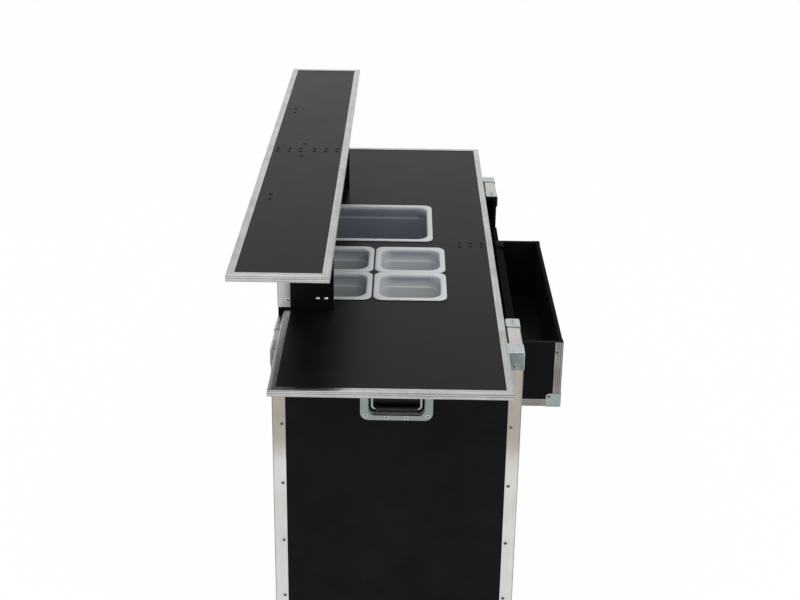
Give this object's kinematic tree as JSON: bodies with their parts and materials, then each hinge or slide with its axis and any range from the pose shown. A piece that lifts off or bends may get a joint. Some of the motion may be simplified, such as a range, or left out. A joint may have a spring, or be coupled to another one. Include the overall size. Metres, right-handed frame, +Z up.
{
  "type": "folding portable bar",
  "caption": "Flight-case style folding portable bar: worktop with food pans and raised counter shelf on two half cases, with a folding front and a hanging bottle rack.",
  "frame": {"origin": "on the floor, under the middle of the bar's overall box (shelf's customer edge to the rack's outer face, worktop end to end)", "axes": "+X towards the server's side, +Y along the bar, +Z up"},
  "size_m": [0.7365, 1.6, 1.122],
  "materials": {
    "black_plywood": "black phenolic film on birch plywood, satin with a fine texture",
    "mill_aluminium": "extruded aluminium, mill finish with fine draw lines",
    "zinc_plated_steel": "bright zinc-plated pressed steel",
    "blackened_steel": "blackened steel, slightly glossy",
    "steel_pin": "plain steel",
    "frosted_polypropylene": "frosted translucent polypropylene",
    "black_rubber": "moulded rubber",
    "black_grip": "matt black plastic"
  },
  "bodies": {
    "cases": {"near_end_panel": "black_plywood", "near_side_panels": "black_plywood", "near_top_panel": "black_plywood", "near_bottom_panel": "black_plywood", "near_handle_dish": "zinc_plated_steel", "far_end_panel": "black_plywood", "far_side_panels": "black_plywood", "far_top_panel": "black_plywood", "far_bottom_panel": "black_plywood", "far_handle_dish": "zinc_plated_steel", "case_edge_angles": "mill_aluminium", "case_corner_caps": "zinc_plated_steel", "case_rim_braces": "zinc_plated_steel", "case_rivets": "zinc_plated_steel", "feet": "black_rubber", "rest_pads": "black_rubber", "front_near_leaf": "black_plywood", "front_near_hinges": "zinc_plated_steel", "front_hinge_pins": "steel_pin", "cross_rail": "black_plywood", "rail_brackets": "zinc_plated_steel"},
    "front_far_leaf": {"front_far_leaf": "black_plywood", "front_far_hinges": "zinc_plated_steel"},
    "near_handle": {"near_handle_bail": "zinc_plated_steel", "near_handle_grip": "black_grip"},
    "far_handle": {"far_handle_bail": "zinc_plated_steel", "far_handle_grip": "black_grip"},
    "rack": {"rack_inner_wall": "black_plywood", "rack_outer_wall": "black_plywood", "rack_end_panels": "black_plywood", "rack_floor": "black_plywood", "rack_angles": "mill_aluminium", "rack_corner_caps": "zinc_plated_steel", "rack_hooks": "blackened_steel", "rack_rivets": "zinc_plated_steel"},
    "worktop": {"worktop_near_board": "black_plywood", "worktop_far_board": "black_plywood", "worktop_trim": "mill_aluminium", "worktop_hinges": "zinc_plated_steel", "worktop_rivets": "blackened_steel", "riser_front": "black_plywood", "riser_returns": "black_plywood", "riser_uprights": "mill_aluminium", "riser_foot_angles": "blackened_steel", "riser_screws": "zinc_plated_steel", "shelf_catches": "black_grip"},
    "near_thumbscrew": {"near_thumbscrew": "blackened_steel"},
    "far_thumbscrew": {"far_thumbscrew": "blackened_steel"},
    "big_pan": {"big_pan": "frosted_polypropylene"},
    "small_pan_1": {"small_pan_1": "frosted_polypropylene"},
    "small_pan_2": {"small_pan_2": "frosted_polypropylene"},
    "small_pan_3": {"small_pan_3": "frosted_polypropylene"},
    "small_pan_4": {"small_pan_4": "frosted_polypropylene"},
    "shelf_hinge": {"shelf_hinge_pins": "steel_pin"},
    "shelf_near": {"shelf_near_board": "black_plywood", "shelf_near_trim": "mill_aluminium", "shelf_near_fittings": "zinc_plated_steel"},
    "shelf_far": {"shelf_far_board": "black_plywood", "shelf_far_trim": "mill_aluminium", "shelf_far_fittings": "zinc_plated_steel"}
  },
  "joints": [
    {"name": "worktop_lift", "type": "slide", "parent": "cases", "child": "worktop", "axis": [0, 0, 1], "range_m": [0, 0.4]},
    {"name": "shelf_lift", "type": "slide", "parent": "worktop", "child": "shelf_hinge", "axis": [0, 0, 1], "range_m": [0, 1.1]},
    {"name": "shelf_near_fold", "type": "hinge", "parent": "shelf_hinge", "child": "shelf_near", "pos_m": [-0.26515, 0, 1.1039], "axis": [1, 0, 0], "range_deg": [0, 86]},
    {"name": "shelf_far_fold", "type": "hinge", "parent": "shelf_hinge", "child": "shelf_far", "pos_m": [-0.26515, 0, 1.1039], "axis": [-1, 0, 0], "range_deg": [0, 86]},
    {"name": "rack_lift", "type": "slide", "parent": "cases", "child": "rack", "axis": [0, 0, 1], "range_m": [0, 0.15]},
    {"name": "front_fold", "type": "hinge", "parent": "cases", "child": "front_far_leaf", "pos_m": [-0.30925, 0, 0.4405], "axis": [0, 0, 1], "range_deg": [0, 178]},
    {"name": "near_handle_swing", "type": "hinge", "parent": "cases", "child": "near_handle", "pos_m": [-0.02965, -0.5695, 0.753], "axis": [-1, 0, 0], "range_deg": [0, 90], "stiffness_Nm_per_rad": 0.25, "springref_deg": -5.73},
    {"name": "far_handle_swing", "type": "hinge", "parent": "cases", "child": "far_handle", "pos_m": [-0.02965, 0.5695, 0.753], "axis": [1, 0, 0], "range_deg": [0, 90], "stiffness_Nm_per_rad": 0.25, "springref_deg": -5.73},
    {"name": "near_thumbscrew_turn", "type": "hinge", "parent": "worktop", "child": "near_thumbscrew", "pos_m": [-0.19165, -0.3685, 0.8688], "axis": [0, 0, 1], "continuous": true},
    {"name": "far_thumbscrew_turn", "type": "hinge", "parent": "worktop", "child": "far_thumbscrew", "pos_m": [-0.19165, 0.3685, 0.8688], "axis": [0, 0, 1], "continuous": true},
    {"name": "big_pan_lift", "type": "slide", "parent": "worktop", "child": "big_pan", "axis": [0, 0, 1], "range_m": [0, 0.2]},
    {"name": "small_pan_1_lift", "type": "slide", "parent": "worktop", "child": "small_pan_1", "axis": [0, 0, 1], "range_m": [0, 0.2]},
    {"name": "small_pan_2_lift", "type": "slide", "parent": "worktop", "child": "small_pan_2", "axis": [0, 0, 1], "range_m": [0, 0.2]},
    {"name": "small_pan_3_lift", "type": "slide", "parent": "worktop", "child": "small_pan_3", "axis": [0, 0, 1], "range_m": [0, 0.2]},
    {"name": "small_pan_4_lift", "type": "slide", "parent": "worktop", "child": "small_pan_4", "axis": [0, 0, 1], "range_m": [0, 0.2]}
  ],
  "couplings": [
    {"joint": "shelf_near_fold", "follows": "shelf_lift", "rad_per_m": 1.3487},
    {"joint": "shelf_far_fold", "follows": "shelf_lift", "rad_per_m": 1.3487}
  ]
}
